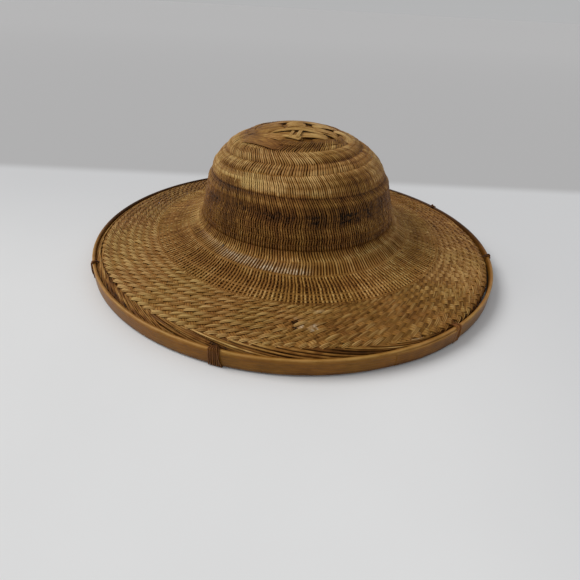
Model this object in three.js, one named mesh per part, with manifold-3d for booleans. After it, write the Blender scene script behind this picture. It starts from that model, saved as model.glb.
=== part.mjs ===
// A woven bamboo rice paddy hat, standing on its rim.
// Units are millimetres, +Z is up, the camera side is -Y, and the origin is on the
// ground under the middle of the hoop.
import * as THREE from 'three';
import { mergeVertices } from 'three/addons/utils/BufferGeometryUtils.js';
import Module from 'manifold-3d';

const wasm = await Module();
wasm.setup();

// Driving dimensions
const HOOP_RADIUS = 200;        // outer face of the hoop
const HOOP_THICKNESS = 3;
const HOOP_TOP = 15.2;          // height of the hoop's top edge over the ground
const HOOP_BOTTOM = 1;          // the lashings pass under the hoop and touch the ground
const HOOP_EDGE_ROUND = 0.8;    // how far the hoop's four long edges are rounded
const WEAVE_WALL = 2;           // thickness of the plait, the crown and the flare
const BRIM_WALL = 2.4;          // thickness of the twill, two strips deep
const CLEARANCE = 0.3;          // gap between neighbouring pieces
const PLAIT_ARC = 44;           // where the plait ends, measured along the surface from the top
const SHOULDER_ARC = 73;        // the groove where the crown's top turns into its shoulder
const GROOVE_ARC = 98.5;        // the deep groove where the shoulder turns into the wall
const FOOT_ARC = 141.5;         // where the crown's wall ends and the open flare begins
const BORDER_ARC = 193;         // where the flare ends and the twill begins
const FOLD_ARC = 238;           // where the strips fold over and the edge begins
const CANE_THICKNESS = 0.7;
const LASHING_WIDTH = 10;       // five turns of cane side by side
const LEG_RADIUS = 193.2;       // where the cane goes down through the woven edge
const SOLE_REACH = 2.4;         // how far the cane's flat bottom reaches inside the hoop
const BLOCK_HEIGHT = 60;        // height of the blocks that mark strips and openings of the plait
const PLAIT_SEGMENTS = 36;
const CROWN_SEGMENTS = 54;      // of the flare too
const BRIM_SEGMENTS = 64;
const HOOP_SEGMENTS = 80;

// Outer line of the woven surface, from the middle of the top out to the hoop
const SURFACE_ROWS = [
  { at: 'top', r: 0, z: 128 },
  { at: 'plait middle', r: 22, z: 124.4 },
  { at: 'plait edge', r: 43, z: 119.4 },
  { at: 'shoulder', r: 66.5, z: 107.2 },
  { at: 'upper wall', r: 81, z: 91 },
  { at: 'wall', r: 88.7, z: 74 },
  { at: 'lower wall', r: 92.5, z: 57 },
  { at: 'foot', r: 95, z: 47.5 },
  { at: 'flare start', r: 101, z: 39 },
  { at: 'flare', r: 120, z: 31 },
  { at: 'flare end', r: 143.5, z: 26.4 },
  { at: 'brim middle', r: 166, z: 21.6 },
  { at: 'fold', r: 187, z: 16.8 },
  { at: 'hoop seat', r: 196.7, z: 12 },
];

// Soft rings of the crown: where each lies along the surface, its half width and its rise
const RIB_ROWS = [
  { at: 'groove under the plait', arc: 52, half: 5, rise: -0.7 },
  { at: 'first ridge', arc: 63, half: 5, rise: 0.6 },
  { at: 'shoulder groove', arc: 73, half: 4, rise: -0.8 },
  { at: 'bright ridge', arc: 88, half: 7, rise: 0.9 },
  { at: 'deep groove', arc: 98.5, half: 3.5, rise: -1.1 },
  { at: 'third ridge', arc: 105, half: 3.5, rise: 0.6 },
  { at: 'stained hollow', arc: 115, half: 6, rise: -0.5 },
  { at: 'low ridge', arc: 128, half: 5, rise: 0.6 },
  { at: 'foot groove', arc: 140.5, half: 4, rise: -0.9 },
  { at: 'flare ridge', arc: 153, half: 4, rise: 0.5 },
];

// How far the hand-woven rings stand off the hoop's middle
const DRIFT_ROWS = [
  { arc: 0, x: -2.5, y: -1 },
  { arc: 50, x: -2, y: -1 },
  { arc: 100, x: 1.2, y: -1 },
  { arc: 150, x: 1.6, y: -1.2 },
  { arc: 193, x: 2.5, y: -2 },
  { arc: 225, x: 0.5, y: -0.5 },
  { arc: 236, x: 0, y: 0 },
];

// Wide strips of the plait seen from above: both ends, and the width
const PLAIT_BANDS = [
  { name: 'front cross', x0: -38, y0: -19, x1: 38, y1: -9, width: 11 },
  { name: 'left front', x0: -44, y0: -22, x1: 0, y1: -39, width: 13 },
  { name: 'front diagonal', x0: -17, y0: -42, x1: 14, y1: 2, width: 11 },
  { name: 'right front', x0: 2, y0: -25, x1: 36, y1: -30, width: 11 },
  { name: 'right edge', x0: 18, y0: 4, x1: 46, y1: -24, width: 13 },
  { name: 'left back', x0: -42, y0: 4, x1: -12, y1: -16, width: 14 },
  { name: 'back cross', x0: -36, y0: 20, x1: 38, y1: 15, width: 12 },
  { name: 'back diagonal', x0: -24, y0: -6, x1: 6, y1: 40, width: 12 },
  { name: 'back right', x0: 6, y0: 38, x1: 34, y1: -6, width: 12 },
];
const BAND_RISE = 0.8;

// Openings between the strips of the plait: middle, length, width and turn in degrees
const PLAIT_GAPS = [
  { x: -14, y: -7, length: 9, width: 4.5, turn: 60 },
  { x: 10, y: -4, length: 10, width: 5, turn: 40 },
  { x: 28, y: -4, length: 8, width: 4.5, turn: 20 },
  { x: 33, y: -20, length: 7, width: 3, turn: 30 },
  { x: 8, y: -37, length: 8, width: 2.6, turn: 2 },
  { x: -9, y: -28, length: 4.5, width: 2.6, turn: 20 },
  { x: 4, y: -19, length: 6, width: 2.4, turn: 12 },
  { x: -20, y: 14, length: 8, width: 4, turn: -40 },
  { x: 5, y: 25, length: 9, width: 4.5, turn: 10 },
  { x: 26, y: 26, length: 7, width: 3.5, turn: -50 },
];

// Where each lashing sits around the hoop, in degrees from +X; the last two are behind the crown
const LASHING_ANGLES = [-154.75, -104.75, -48.75, -8, 30.25, 75, 118];

const surface = new THREE.SplineCurve(SURFACE_ROWS.map(({ r, z }) => new THREE.Vector2(r, z)));
surface.arcLengthDivisions = 1200;
const SURFACE_LENGTH = surface.getLength();

// Height added by the rings of the crown at a distance along the surface: a sum of bell curves
function ribRise(arc) {
  return RIB_ROWS.reduce((sum, rib) => sum + rib.rise * Math.exp(-(((arc - rib.arc) / rib.half) ** 2)), 0);
}

// Offset of a ring's middle at a distance along the surface, read between the rows
function drift(arc) {
  const next = DRIFT_ROWS.findIndex((row) => row.arc > arc);
  if (next < 0) {
    return { x: 0, y: 0 };
  }
  const a = DRIFT_ROWS[Math.max(next - 1, 0)];
  const b = DRIFT_ROWS[next];
  const share = b.arc > a.arc ? (arc - a.arc) / (b.arc - a.arc) : 0;
  return { x: THREE.MathUtils.lerp(a.x, b.x, share), y: THREE.MathUtils.lerp(a.y, b.y, share) };
}

// A point of the surface's section, moved square to it by a depth (outwards is positive)
function sectionPoint(arc, depth) {
  const share = Math.min(arc / SURFACE_LENGTH, 1);
  const point = surface.getPointAt(share);
  const along = arc > 0 ? surface.getTangentAt(share) : new THREE.Vector2(1, 0);
  return { r: point.x - along.y * depth, z: point.y + along.x * depth, arc };
}

// Points along the surface between two arcs, at one depth, with or without the rings' relief
function sectionRun(from, to, steps, depth, ribbed) {
  const rows = [];
  for (let i = 0; i <= steps; i++) {
    const arc = THREE.MathUtils.lerp(from, to, i / steps);
    rows.push(sectionPoint(arc, depth + (ribbed ? ribRise(arc) : 0)));
  }
  return rows;
}

// A body of rings turned about the upright axis from a section, each ring set off by its drift
function ringGeometry(section, segments, closed) {
  const loop = closed ? [...section, section[0]] : section;
  const geometry = new THREE.LatheGeometry(loop.map(({ r, z }) => new THREE.Vector2(r, z)), segments);
  geometry.rotateX(Math.PI / 2);
  const position = geometry.attributes.position;
  for (let i = 0; i < position.count; i++) {
    const offset = drift(loop[i % loop.length].arc);
    position.setX(i, position.getX(i) + offset.x);
    position.setY(i, position.getY(i) + offset.y);
  }
  return welded(geometry);
}

// The same geometry with only positions, its shared vertices merged and the flat triangles
// that a pole leaves taken out
function welded(geometry) {
  geometry.deleteAttribute('normal');
  geometry.deleteAttribute('uv');
  const merged = mergeVertices(geometry, 1e-4);
  const corners = merged.index.array;
  const kept = [];
  for (let i = 0; i < corners.length; i += 3) {
    const [a, b, c] = corners.subarray(i, i + 3);
    if (a !== b && b !== c && c !== a) {
      kept.push(a, b, c);
    }
  }
  merged.setIndex(kept);
  return merged;
}

function toSolid(geometry) {
  const merged = welded(geometry);
  return new wasm.Manifold(new wasm.Mesh({
    numProp: 3,
    vertProperties: new Float32Array(merged.attributes.position.array),
    triVerts: new Uint32Array(merged.index.array),
  }));
}

function toGeometry(solid) {
  const mesh = solid.getMesh();
  const geometry = new THREE.BufferGeometry();
  geometry.setAttribute('position', new THREE.BufferAttribute(new Float32Array(mesh.vertProperties), 3));
  geometry.setIndex(new THREE.BufferAttribute(new Uint32Array(mesh.triVerts), 1));
  return geometry;
}

const hat = new THREE.Group();

function addPiece(name, geometry, color, roughness) {
  const material = new THREE.MeshStandardMaterial({ color, roughness, metalness: 0 });
  const mesh = new THREE.Mesh(geometry, material);
  mesh.name = name;
  hat.add(mesh);
  return mesh;
}

// The woven wall between two arcs: ribbed or plain outside, plain inside
function wallSection(from, to, outerSteps, innerSteps, thickness, ribbed) {
  const outside = sectionRun(from, to, outerSteps, 0, ribbed);
  const inside = sectionRun(from, to, innerSteps, -thickness, false);
  return [...inside, ...outside.reverse()];
}

// The plait: a domed disc with the raised strips on it and the openings cut through
function plaitDome(from, depthIn, depthOut) {
  const outside = sectionRun(0, from, 5, depthOut, false);
  const inside = sectionRun(0, from, 4, depthIn, false);
  return toSolid(ringGeometry([...inside, ...outside.reverse()], PLAIT_SEGMENTS, false));
}

function bandBlock({ x0, y0, x1, y1, width }) {
  const length = Math.hypot(x1 - x0, y1 - y0);
  const block = new THREE.BoxGeometry(length, width, BLOCK_HEIGHT);
  block.rotateZ(Math.atan2(y1 - y0, x1 - x0));
  block.translate((x0 + x1) / 2, (y0 + y1) / 2, SURFACE_ROWS[0].z);
  return toSolid(block);
}

function gapBlock({ x, y, length, width, turn }) {
  const almond = new THREE.Shape();
  almond.moveTo(-length / 2, 0);
  almond.quadraticCurveTo(0, -width, length / 2, 0);
  almond.quadraticCurveTo(0, width, -length / 2, 0);
  const block = new THREE.ExtrudeGeometry(almond, { depth: BLOCK_HEIGHT, bevelEnabled: false, curveSegments: 5 });
  block.rotateZ(THREE.MathUtils.degToRad(turn));
  block.translate(x, y, SURFACE_ROWS[0].z - BLOCK_HEIGHT / 2);
  return toSolid(block);
}

function plaitSolid() {
  const edge = PLAIT_ARC - CLEARANCE / 2;
  const disc = plaitDome(edge, -WEAVE_WALL, 0);
  const bands = PLAIT_BANDS.map(bandBlock).reduce((sum, block) => sum.add(block));
  const raised = plaitDome(edge, -WEAVE_WALL / 2, BAND_RISE).intersect(bands);
  const holes = PLAIT_GAPS.map(gapBlock).reduce((sum, block) => sum.add(block));
  return disc.add(raised).subtract(holes);
}
addPiece('crown_plait', toGeometry(plaitSolid()), 0x9c7440, 0.55);

// A ring-shaped piece of the weave between two arcs, drawn back by half the clearance at both ends
function addWall(name, from, to, outerSteps, innerSteps, wall, segments, ribbed, color) {
  const half = CLEARANCE / 2;
  const section = wallSection(from + half, to - half, outerSteps, innerSteps, wall, ribbed);
  return addPiece(name, ringGeometry(section, segments, true), color, 0.6);
}
addWall('crown_top', PLAIT_ARC, SHOULDER_ARC, 7, 3, WEAVE_WALL, CROWN_SEGMENTS, true, 0x8f6a35);
addWall('crown_shoulder', SHOULDER_ARC, GROOVE_ARC, 7, 3, WEAVE_WALL, CROWN_SEGMENTS, true, 0x96713a);
addWall('crown_wall', GROOVE_ARC, FOOT_ARC, 11, 3, WEAVE_WALL, CROWN_SEGMENTS, true, 0x6d4a24);
addWall('flare', FOOT_ARC, BORDER_ARC, 9, 6, WEAVE_WALL, CROWN_SEGMENTS, true, 0x7c5a2f);
addWall('brim', BORDER_ARC, FOLD_ARC, 4, 3, BRIM_WALL, BRIM_SEGMENTS, false, 0x94703a);

// A lashing's loop in a section through the rim: up the outside of the hoop, over the woven
// edge, down through it and back under the hoop. Each corner's r is from the upright axis.
const LOOP_OUTER = HOOP_RADIUS + CLEARANCE + CANE_THICKNESS;
const LOOP_CORNERS = [
  { at: 'outside low', r: LOOP_OUTER, z: 0 },
  { at: 'outside high', r: LOOP_OUTER, z: HOOP_TOP + CLEARANCE + CANE_THICKNESS },
  { at: 'over the edge', r: LEG_RADIUS - CANE_THICKNESS, z: 17 },
  { at: 'under the edge', r: LEG_RADIUS - CANE_THICKNESS, z: 10 },
  { at: 'under the hoop', r: HOOP_RADIUS - HOOP_THICKNESS - SOLE_REACH, z: 0 },
];

// The loop's corners moved inwards by the cane's thickness
function insetCorners(corners, distance) {
  const count = corners.length;
  return corners.map((corner, i) => {
    const point = new THREE.Vector2(corner.r, corner.z);
    const before = new THREE.Vector2(corners[(i + count - 1) % count].r, corners[(i + count - 1) % count].z);
    const after = new THREE.Vector2(corners[(i + 1) % count].r, corners[(i + 1) % count].z);
    const toBefore = before.sub(point).normalize();
    const toAfter = after.sub(point).normalize();
    const sine = Math.abs(toBefore.cross(toAfter));
    return point.add(toBefore.add(toAfter).multiplyScalar(distance / sine));
  });
}

function lashingGeometry(angle) {
  const loop = new THREE.Shape(LOOP_CORNERS.map(({ r, z }) => new THREE.Vector2(r, z)));
  loop.holes.push(new THREE.Path(insetCorners(LOOP_CORNERS, CANE_THICKNESS)));
  const geometry = new THREE.ExtrudeGeometry(loop, { depth: LASHING_WIDTH, bevelEnabled: false });
  geometry.translate(0, 0, -LASHING_WIDTH / 2);
  geometry.rotateX(Math.PI / 2);
  geometry.rotateZ(THREE.MathUtils.degToRad(angle));
  return welded(geometry);
}

// The slot in the woven edge that a lashing's inner leg goes down through
function legSlot(angle) {
  const depth = CANE_THICKNESS + 2 * CLEARANCE;
  const slot = new THREE.BoxGeometry(depth, LASHING_WIDTH + 2 * CLEARANCE, 2 * HOOP_TOP);
  slot.translate(LEG_RADIUS - CANE_THICKNESS / 2, 0, HOOP_TOP);
  slot.rotateZ(THREE.MathUtils.degToRad(angle));
  return toSolid(slot);
}

// The folded strip ends: a sloping band between the twill and the hoop, slotted for the lashings
const edgeSection = wallSection(FOLD_ARC + CLEARANCE / 2, SURFACE_LENGTH, 2, 2, BRIM_WALL, false);
const edgeRing = toSolid(ringGeometry(edgeSection, BRIM_SEGMENTS, true));
const edgeSolid = LASHING_ANGLES.map(legSlot).reduce((ring, slot) => ring.subtract(slot), edgeRing);
addPiece('brim_edge', toGeometry(edgeSolid), 0x8a6233, 0.55);

// The hoop: an upright strip with rounded long edges
function hoopSection() {
  const outer = HOOP_RADIUS;
  const inner = HOOP_RADIUS - HOOP_THICKNESS;
  const cut = HOOP_EDGE_ROUND;
  return [
    { r: inner, z: HOOP_BOTTOM + cut },
    { r: inner, z: HOOP_TOP - cut },
    { r: inner + cut, z: HOOP_TOP },
    { r: outer - cut, z: HOOP_TOP },
    { r: outer, z: HOOP_TOP - cut },
    { r: outer, z: HOOP_BOTTOM + cut },
    { r: outer - cut, z: HOOP_BOTTOM },
    { r: inner + cut, z: HOOP_BOTTOM },
  ].reverse().map((row) => ({ ...row, arc: SURFACE_LENGTH }));
}
addPiece('hoop', ringGeometry(hoopSection(), HOOP_SEGMENTS, true), 0x85592a, 0.4);

LASHING_ANGLES.forEach((angle, i) => {
  addPiece(`lashing_${i + 1}`, lashingGeometry(angle), 0x5f4128, 0.6);
});

export default hat;
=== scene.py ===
# %% [markdown]
# # A woven rice paddy hat
# The hat is basketry from top to rim. Wide strips of split bamboo are plaited at the top, then
# split into fine stakes that run down the crown and out over the flare, held by twined strands. At
# the border they turn into a twill, whose ends are folded over and lashed to a bamboo hoop. This
# notebook makes each layer as real geometry. The measured solid hat is loaded first, and is only
# the guide for places and sizes.

# %% Load the measured hat
import math
from functools import partial
import bpy
import numpy as np
from mathutils import Matrix, Vector


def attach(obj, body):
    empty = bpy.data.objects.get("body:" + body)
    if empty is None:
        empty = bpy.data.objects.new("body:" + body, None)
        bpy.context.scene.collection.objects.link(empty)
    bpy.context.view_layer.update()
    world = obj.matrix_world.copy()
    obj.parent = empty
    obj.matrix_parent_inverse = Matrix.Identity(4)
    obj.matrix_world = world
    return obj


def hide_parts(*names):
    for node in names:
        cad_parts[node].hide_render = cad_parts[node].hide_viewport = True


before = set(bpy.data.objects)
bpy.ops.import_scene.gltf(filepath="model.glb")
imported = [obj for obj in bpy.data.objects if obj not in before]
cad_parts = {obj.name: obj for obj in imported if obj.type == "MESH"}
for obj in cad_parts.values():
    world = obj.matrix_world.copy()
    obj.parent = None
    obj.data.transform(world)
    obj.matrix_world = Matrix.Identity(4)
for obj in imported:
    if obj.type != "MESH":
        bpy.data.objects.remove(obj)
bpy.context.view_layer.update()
MM = 0.001  # every length below is in millimetres until a mesh is filled
rng = np.random.default_rng(12)


def scatter(*shape):
    """Random numbers round 0 with a spread of 1."""
    return rng.normal(0, 1, shape)


# %% [markdown]
# ## The surface that everything is woven on
# A place on a basket is two numbers: how far along the surface from the top (the arc), and which
# way round (the angle). The outer line of the hat is a smooth curve through a few measured points,
# and every strand is drawn in arc and angle and bent onto it. A third number, the lift, moves a
# strand off the surface, which is how one passes over another.

# %% The outer line of the hat
SURFACE_ROWS = np.array([  # radius, height
    (0, 128), (22, 124.4), (43, 119.4), (66.5, 107.2), (81, 91), (88.7, 74), (92.5, 57),
    (95, 47.5), (101, 39), (120, 31), (143.5, 26.4), (166, 21.6), (187, 16.8), (196.7, 12)])
RIB_ROWS = np.array([  # arc, half width, rise of each soft ring of the crown
    (53, 4, -0.6), (61, 5, 0.6), (68.5, 3.5, -0.9), (74, 4, 0.3), (79, 2.5, -0.3), (87, 6, 0.8),
    (98, 4, -0.8), (105, 3.5, 0.5), (115, 6, -0.5), (128, 5, 0.6), (140.5, 4, -0.9), (151, 4, 0.4)])
DRIFT_ROWS = np.array([  # arc, and how far the ring's middle lies off the hoop's, x and y
    (0, -2.5, -1), (50, -2, -1), (100, 1.2, -1), (150, 1.6, -1.2), (193, 2.5, -2),
    (225, 0.5, -0.5), (236, 0, 0)])


def spline(rows, samples=4000):
    """A smooth curve through the rows: between two of them the cubic that leaves each with half the
    step between its neighbours as its slope."""
    place = np.linspace(0, len(rows) - 1, samples)
    first = np.minimum(place.astype(int), len(rows) - 2)
    t = (place - first)[:, None]
    before, after = rows[np.maximum(first - 1, 0)], rows[np.minimum(first + 2, len(rows) - 1)]
    before = np.where(first[:, None] == 0, rows[first], before)
    p1, p2 = rows[first], rows[first + 1]
    v1, v2 = (p2 - before) / 2, (after - p1) / 2
    return (2 * p1 - 2 * p2 + v1 + v2) * t**3 + (3 * p2 - 3 * p1 - 2 * v1 - v2) * t**2 + v1 * t + p1


def read_off(rows, place, column=1):
    """A column of a table at a place, straight between the rows. Their places stand first."""
    return np.interp(place, rows[:, 0], rows[:, column])


def bell(distance):
    """1 at no distance, and falling off to both sides as exp(-distance^2)."""
    return np.exp(-(distance ** 2))


outline = spline(SURFACE_ROWS)
outline_arc = np.concatenate([[0], np.cumsum(np.hypot(*np.diff(outline, axis=0).T))])
slope = np.gradient(outline, outline_arc, axis=0)
RIM_ARC = outline_arc[-1]
print("length of the outer line:", round(RIM_ARC, 1), "mm")

# %% [markdown]
# No ring of a hand-woven hat is quite round or level. A few slow waves round the hat move every
# strand along the surface, all of them together, so the rings stay whole.

# %% A point of the surface
CROWN_ARCS = (46, 70, 128, 142)  # where a wave grows, holds and ends
WOBBLE_ROWS = (  # waves round, turn in degrees, size, arcs
    (1, -90, 4.5, (46, 60, 82, 97)), (2, -126, 3.0, (141.5, 160, 193, 214)),
    (2, 40, 0.6, CROWN_ARCS), (3, -75, 0.5, CROWN_ARCS), (7, 10, 0.2, CROWN_ARCS))


def wrapped(degrees):
    """The same turn between -180 and 180 degrees."""
    return (degrees + 180) % 360 - 180


def wobble(arc, angle):
    """How far a strand lies off its own arc: a sum of size * sin(waves * angle + turn), each wave
    between its own arcs."""
    return sum(size * np.sin(count * angle + math.radians(turn)) * np.interp(arc, arcs, (0, 1, 1, 0))
               for count, turn, size, arcs in WOBBLE_ROWS)


def level_ways(turn):
    """The level way at an angle, and the one a quarter turn further round."""
    cosine, sine = math.cos(turn), math.sin(turn)
    return np.array([cosine, sine, 0]), np.array([-sine, cosine, 0])


def section(arc):
    """Radius and height of the outer line at an arc, and the two parts of its outward normal."""
    parts = (outline[:, 0], outline[:, 1], -slope[:, 1], slope[:, 0])
    return [np.interp(arc, outline_arc, part) for part in parts]


def ring_relief(arc):
    """Height of the crown's soft rings: the sum over the rows of rise * bell((arc - at) / half)."""
    arc = np.asarray(arc, float)[..., None]
    at, half, rise = RIB_ROWS.T
    return (rise * bell((arc - at) / half)).sum(-1)


def on_surface(arc, angle, lift):
    """The point at an arc and angle, moved along the normal by the lift, and the normal there.
    Its place is the ring's middle plus radius * (cos angle, sin angle), at the outline's height."""
    arc, angle, lift = np.broadcast_arrays(*map(np.asarray, (arc, angle, lift)))
    lift = lift + ring_relief(arc)
    arc = arc + wobble(arc, angle)
    radius, height, out, up = section(arc)
    middle_x, middle_y = (read_off(DRIFT_ROWS, arc, column) for column in (1, 2))
    reach = radius + lift * out
    point = np.stack([middle_x + reach * np.cos(angle), middle_y + reach * np.sin(angle),
                      height + lift * up], -1)
    normal = np.stack([out * np.cos(angle), out * np.sin(angle), up], -1)
    return point, normal


# %% [markdown]
# ## Strips as carried profiles
# Everything in the weave is a strip of bamboo: long, narrow and crowned above. Each is made by
# carrying a small profile along a path. One array holds all the strips of a layer at once: strip
# by step by corner of the profile.

# %% Carrying a profile along paths
def unit(vectors):
    """Each vector divided by its own length."""
    return vectors / np.maximum(np.linalg.norm(vectors, axis=-1, keepdims=True), 1e-9)


def carry(path, normal, half_width, half_thick, profile, closed=False, tilt=0.0):
    """Points of strips, as strip * step * corner: the path's point + across * half width * the side
    way + high * half thickness * the upward way. The tilt turns those ways about the path."""
    if closed:
        ahead = np.roll(path, -1, 1) - np.roll(path, 1, 1)
    else:
        ahead = np.gradient(path, axis=1)
    side = unit(np.cross(unit(ahead), normal))
    up = unit(np.cross(side, unit(ahead)))
    cosine, sine = math.cos(tilt), math.sin(tilt)
    side, up = side * cosine + up * sine, up * cosine - side * sine
    across, high = profile.T
    wide, thick = (np.broadcast_to(half, path.shape[:2])[..., None, None]
                   for half in (half_width, half_thick))
    return (path[:, :, None] + side[:, :, None] * wide * across[:, None]
            + up[:, :, None] * thick * high[:, None])


# %% Faces between the corners
def strip_faces(strips, steps, corners, closed):
    """Quads between neighbouring steps and corners. An open strip gets a flat face at both ends."""
    index = np.arange(strips * steps * corners).reshape(strips, steps, corners)
    near = index if closed else index[:, :-1]
    far = np.roll(index, -1, 1) if closed else index[:, 1:]
    quads = np.stack([near, np.roll(near, -1, 2), np.roll(far, -1, 2), far], -1).reshape(-1, 4)
    if closed:
        return quads, np.empty((0, corners), int)
    return quads, np.concatenate([index[:, 0, ::-1], index[:, -1]])


def fill_mesh(mesh, points, quads, caps):
    """Writes points in millimetres, four-cornered faces and end faces into an empty mesh."""
    loops = np.concatenate([quads.ravel(), caps.ravel()]).astype(np.int32)
    cap_starts = quads.size + np.arange(len(caps)) * caps.shape[1]
    starts = np.concatenate([np.arange(len(quads)) * 4, cap_starts])
    mesh.vertices.add(len(points))
    mesh.vertices.foreach_set("co", (points * MM).astype(np.float32).ravel())
    mesh.loops.add(len(loops))
    mesh.loops.foreach_set("vertex_index", loops)
    mesh.polygons.add(len(starts))
    mesh.polygons.foreach_set("loop_start", starts.astype(np.int32))
    mesh.update(calc_edges=True)
    mesh.shade_smooth()


# %% [markdown]
# ## What a strip tells its material
# Old bamboo isn't one colour: each strip has its own shade, rings have faded or darkened, and
# there are stains and worn places. Painted highlights and painted shade are laid into the same
# numbers. They are worked out where the strips are made, and kept on the mesh. "fibre" holds the
# distance along the strip, the place across it and a number of its own, so that the grain follows
# the strip. "shade" holds how light it is, painted light and shade included, how stained, with the
# painted shade of two holes, and how worn.

# %% A finished layer of strips
def add_object(name, data):
    """An object that holds the data, at the origin."""
    made = bpy.data.objects.new(name, data)
    bpy.context.scene.collection.objects.link(made)
    return made


def add_piece(name, points, material, tone, stain_and_hole_shade=0.0, worn=0.0, closed=False,
              stands_for=(), splints=1.0):
    """One object from strips * steps * corners of points, with its fibre and shade attributes. The
    distance across is counted in splints, the finer splits that each strip still holds."""
    strips, steps, corners = points.shape[:3]
    mesh = bpy.data.meshes.new(name)
    quads, caps = strip_faces(strips, steps, corners, closed)
    fill_mesh(mesh, points.reshape(-1, 3), quads, caps)
    middle = points.mean(2)
    run = np.linalg.norm(np.diff(middle, axis=1, prepend=middle[:, :1]), axis=-1).cumsum(1)
    across = np.linalg.norm(points - points[:, :, :1], axis=-1)
    width = across / across.max(2, keepdims=True) * splints
    number = np.broadcast_to(rng.random((strips, 1, 1)), points.shape[:3])
    fibre = np.stack([np.broadcast_to(run[:, :, None], width.shape), width, number], -1)
    layers = [np.broadcast_to(np.reshape(v, np.shape(v) + (1,) * (3 - np.ndim(v))), width.shape)
              for v in (tone, stain_and_hole_shade, worn)]
    for key, values in (("fibre", fibre), ("shade", np.stack(layers, -1))):
        data = mesh.attributes.new(key, "FLOAT_VECTOR", "POINT").data
        data.foreach_set("vector", values.astype(np.float32).ravel())
    mesh.materials.append(material)
    piece = add_object(name, mesh)
    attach(piece, "root")
    if stands_for:
        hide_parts(*stands_for)
    triangles = 2 * len(quads) + len(caps) * (corners - 2)
    print(f"{name}: {strips} strips, {triangles} triangles")


# %% [markdown]
# ## The camera
# The viewpoint was worked out from the ellipse of the hoop and the height of the crown in the
# photograph, so that the picture can be laid over the render.

# %% Place the camera
CAMERA_PLACE = (0.0, -422.72, 217.56)
CAMERA_TURN, CAMERA_DIP, CAMERA_ROLL = (math.radians(a) for a in (-0.1756, 33.0642, 3.1965))
FOCAL_SHARE = 436 / 580  # focal length as a share of the picture's width
SENSOR = 36.0


def camera_axes():
    """Right, up and backward ways of the camera: the level right way and the upward way square to
    the view, turned about the view by the roll."""
    turn, dip, roll = CAMERA_TURN, CAMERA_DIP, CAMERA_ROLL
    view = np.array([math.sin(turn) * math.cos(dip), math.cos(turn) * math.cos(dip), -math.sin(dip)])
    level = np.array([math.cos(turn), -math.sin(turn), 0])
    above = np.cross(level, view)
    right = math.cos(roll) * level + math.sin(roll) * above
    up = math.cos(roll) * above - math.sin(roll) * level
    return np.stack([right, up, -view], 1)


camera_data = bpy.data.cameras.new("camera")
camera_data.lens = FOCAL_SHARE * SENSOR
camera_data.sensor_width = SENSOR
camera = add_object("camera", camera_data)
camera_matrix = np.eye(4)
camera_matrix[:3, :3] = camera_axes()
camera_matrix[:3, 3] = np.array(CAMERA_PLACE) * MM
camera.matrix_world = Matrix(camera_matrix.tolist())
bpy.context.scene.camera = camera
print("camera at", CAMERA_PLACE, "lens", round(camera_data.lens, 2), "mm")

# %% [markdown]
# ## Split bamboo
# Split bamboo is a bundle of straight fibres with a satin face. Its colour comes from one ramp,
# from the near black of a stain to the straw of a faded ring. Two noises move it a little: fine
# streaks along the fibres, and mottling the size of a fingertip over neighbouring strips alike.
# The streaks also raise a slight bump.

# %% Helpers for node trees
def new_material(name):
    """A new material with its node tree and its shader."""
    material = bpy.data.materials.new(name)
    material.use_nodes = True
    return material, material.node_tree, material.node_tree.nodes["Principled BSDF"]


def srgb(red, green, blue):
    """A colour given as the eye sees it, 0 to 255, as the linear light that the shader needs."""
    share = np.array([red, green, blue]) / 255
    linear = np.where(share <= 0.04045, share / 12.92, ((share + 0.055) / 1.055) ** 2.4)
    return (*linear.tolist(), 1.0)


def add_node(tree, kind, inputs=None, **settings):
    """A new node with its settings. Each input is a socket to link or a value to set."""
    made = tree.nodes.new(kind)
    for key, value in settings.items():
        setattr(made, key, value)
    for key, value in (inputs or {}).items():
        if isinstance(value, bpy.types.NodeSocket):
            tree.links.new(value, made.inputs[key])
        else:
            made.inputs[key].default_value = value
    return made


def maths(tree, operation, first, second, clamp=False):
    """The result of one sum on two values or sockets."""
    made = add_node(tree, "ShaderNodeMath", {0: first, 1: second}, operation=operation, use_clamp=clamp)
    return made.outputs[0]


def sums(tree):
    """Three short ways to add, multiply and subtract in one node tree."""
    return (partial(maths, tree, operation) for operation in ("ADD", "MULTIPLY", "SUBTRACT"))


def three_parts(tree, vector):
    """The three parts of a vector."""
    return add_node(tree, "ShaderNodeSeparateXYZ", {0: vector}).outputs


def mix_colour(tree, factor, first, second):
    """A colour between two, by the factor."""
    made = add_node(tree, "ShaderNodeMix", {0: factor, 6: first, 7: second}, data_type="RGBA")
    return made.outputs[2]


def noise(tree, vector, scale, detail=2.0, roughness=0.5):
    """Noise from 0 to 1 at a vector, with about scale lumps to one unit of it."""
    inputs = {"Vector": vector, "Scale": scale, "Detail": detail, "Roughness": roughness}
    return add_node(tree, "ShaderNodeTexNoise", inputs).outputs["Fac"]


def stretched(tree, vector, factors):
    """The vector or colour with each part multiplied by its own factor."""
    made = add_node(tree, "ShaderNodeVectorMath", {0: vector, 1: factors}, operation="MULTIPLY")
    return made.outputs[0]


def step_between(tree, value, low, high):
    """0 below the low value, 1 above the high one, and a smooth rise between."""
    inputs = {"Value": value, "From Min": low, "From Max": high}
    made = add_node(tree, "ShaderNodeMapRange", inputs, interpolation_type="SMOOTHSTEP")
    return made.outputs[0]


def ramp(tree, value, stops):
    """A colour read off a ramp of stops, each a place from 0 to 1 and a colour."""
    made = add_node(tree, "ShaderNodeValToRGB", {"Fac": value})
    marks = made.color_ramp.elements
    while len(marks) < len(stops):
        marks.new(0.5)
    for mark, (place, colour) in zip(marks, stops):
        mark.position, mark.color = place, srgb(*colour)
    return made.outputs["Color"]


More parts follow.
